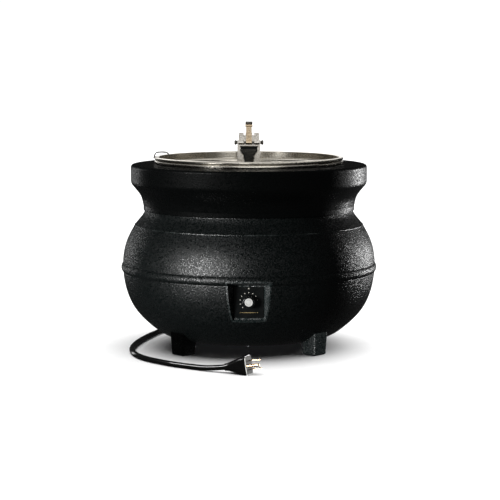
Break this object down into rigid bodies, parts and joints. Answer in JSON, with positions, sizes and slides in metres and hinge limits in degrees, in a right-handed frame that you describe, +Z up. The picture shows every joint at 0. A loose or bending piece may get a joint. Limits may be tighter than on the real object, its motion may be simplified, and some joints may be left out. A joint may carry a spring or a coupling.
{
  "type": "soup kettle",
  "caption": "Cauldron-shaped electric countertop soup kettle with a lift-out stainless inset, a clip-on cover hinge at the rear rim, a recessed control knob and a mains cord.",
  "frame": {"origin": "on the kettle's vertical axis, on the surface the feet stand on", "axes": "+Z up along the kettle's axis; the control panel faces -Y; the cover hinge and the cord gland are on the +Y side; +X is to the right seen from the front"},
  "size_m": [0.4094, 0.6008, 0.3529],
  "materials": {
    "textured_body": "pebble-textured black moulding",
    "satin_collar": "fine-textured satin black moulding",
    "gloss_black": "gloss black moulding",
    "knob_white": "gloss off-white",
    "stainless": "brushed and spun stainless steel",
    "bright_steel": "bright polished steel",
    "dark_steel": "darkened steel",
    "zinc_steel": "zinc-plated steel",
    "aluminium_part": "plain aluminium",
    "brass_part": "brass",
    "copper_tube": "copper",
    "rubber_black": "matte black rubber",
    "cord_jacket": "smooth satin black flexible jacket",
    "insulation": "mineral-fibre felt",
    "phenolic": "brown-black phenolic",
    "core_sleeve": "heat-resistant sleeving",
    "tie_black": "black cord tie",
    "plug_white": "white plug face"
  },
  "bodies": {
    "kettle": {"neck_collar": "satin_collar", "upper_shell": "textured_body", "belt_ring": "textured_body", "lower_shell": "textured_body", "control_pocket": "textured_body", "control_panel": "gloss_black", "foot_front_left": "textured_body", "foot_front_right": "textured_body", "foot_rear_left": "textured_body", "foot_rear_right": "textured_body", "foot_screws": "zinc_steel", "foot_pads": "rubber_black", "base_cover": "zinc_steel", "base_screws": "zinc_steel", "tie_rods": "zinc_steel", "water_well": "stainless", "heater_band": "dark_steel", "heater_clamp": "zinc_steel", "insulation_jacket": "insulation", "heat_shield": "aluminium_part", "shield_posts": "zinc_steel", "thermostat_body": "phenolic", "thermostat_nut": "zinc_steel", "sensing_bulb": "copper_tube", "bulb_clip": "zinc_steel", "capillary_tube": "copper_tube", "high_limit_cutout": "aluminium_part", "terminal_block": "phenolic", "internal_leads": "core_sleeve", "earth_stud": "brass_part", "strain_relief": "rubber_black", "cord_lead_in": "cord_jacket", "cord_coil": "cord_jacket", "cord_tie": "tie_black", "cord_run": "cord_jacket", "plug_body": "cord_jacket", "plug_face": "plug_white", "plug_blades": "brass_part", "plug_ground_pin": "brass_part"},
    "inset": {"inset_vessel": "stainless", "rim_lift_tab": "stainless"},
    "hinge_clip": {"hinge_bracket": "stainless", "hinge_back_plate": "stainless", "bracket_rivets": "bright_steel", "hinge_pin": "dark_steel", "hinge_knuckles": "stainless", "latch_pin": "bright_steel"},
    "tongue": {"hinge_tongue": "stainless", "tongue_rod": "dark_steel"},
    "lever": {"latch_lever": "gloss_black"},
    "knob": {"control_knob": "gloss_black", "knob_cap": "knob_white", "thermostat_spindle": "bright_steel"}
  },
  "joints": [
    {"name": "inset_lift", "type": "slide", "parent": "kettle", "child": "inset", "axis": [0, 0, 1], "range_m": [0, 0.25]},
    {"name": "clip_lift", "type": "slide", "parent": "inset", "child": "hinge_clip", "axis": [0, 0, 1], "range_m": [0, 0.06]},
    {"name": "tongue_fold", "type": "hinge", "parent": "hinge_clip", "child": "tongue", "pos_m": [0, 0.1482, 0.3176], "axis": [1, 0, 0], "range_deg": [0, 88]},
    {"name": "lever_swing", "type": "hinge", "parent": "hinge_clip", "child": "lever", "pos_m": [0, 0.1365, 0.3075], "axis": [-1, 0, 0], "range_deg": [0, 85]},
    {"name": "knob_turn", "type": "hinge", "parent": "kettle", "child": "knob", "pos_m": [0, -0.19, 0.0955], "axis": [0, -1, 0], "range_deg": [-270, 0]}
  ]
}
